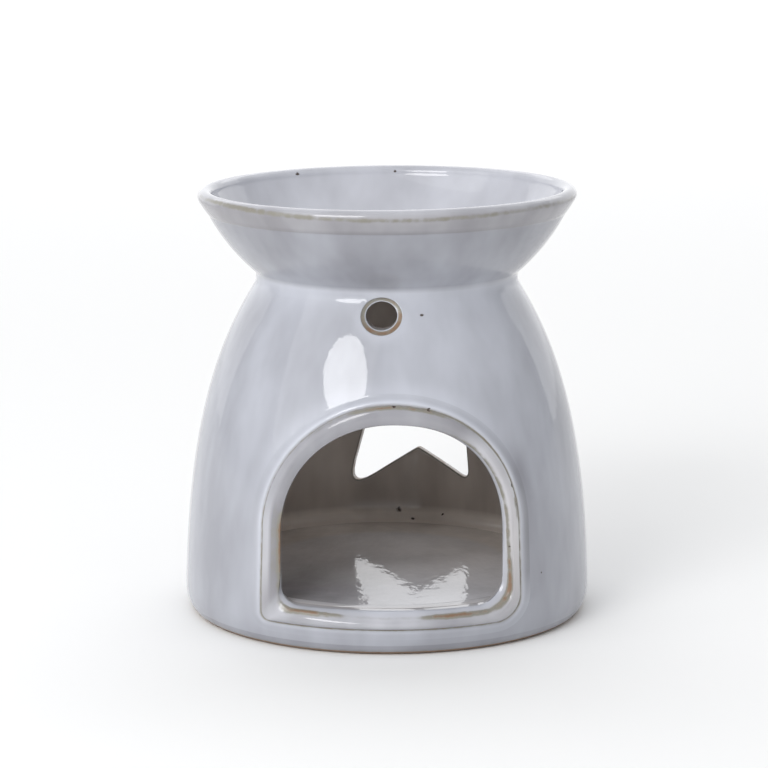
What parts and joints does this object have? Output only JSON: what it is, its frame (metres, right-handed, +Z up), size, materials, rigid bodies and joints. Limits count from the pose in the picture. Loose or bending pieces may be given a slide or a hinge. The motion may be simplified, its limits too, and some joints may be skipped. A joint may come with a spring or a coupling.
{
  "type": "wax warmer",
  "caption": "Bell-shaped glazed stoneware wax warmer with a flared melting dish, an arched tealight doorway with a raised surround, a vent under the neck and a star cut through the back.",
  "frame": {"origin": "centre of the foot, on the surface that the warmer stands on", "axes": "+Z up along the axis of the bell, -Y towards the doorway, +X to the right as seen from the front"},
  "size_m": [0.1036, 0.1051, 0.108],
  "materials": {
    "foot_stoneware": "thin grey glaze over brown stoneware, bare at the foot",
    "body_glaze": "glossy pale blue-grey reactive glaze",
    "surround_glaze": "glossy pale glaze that breaks to brown on its edges",
    "dish_glaze": "glossy pale blue-grey reactive glaze, olive along the lip"
  },
  "bodies": {
    "root": {"base_plate": "foot_stoneware", "bell_body": "body_glaze", "door_surround": "surround_glaze", "melting_dish": "dish_glaze"}
  },
  "joints": []
}
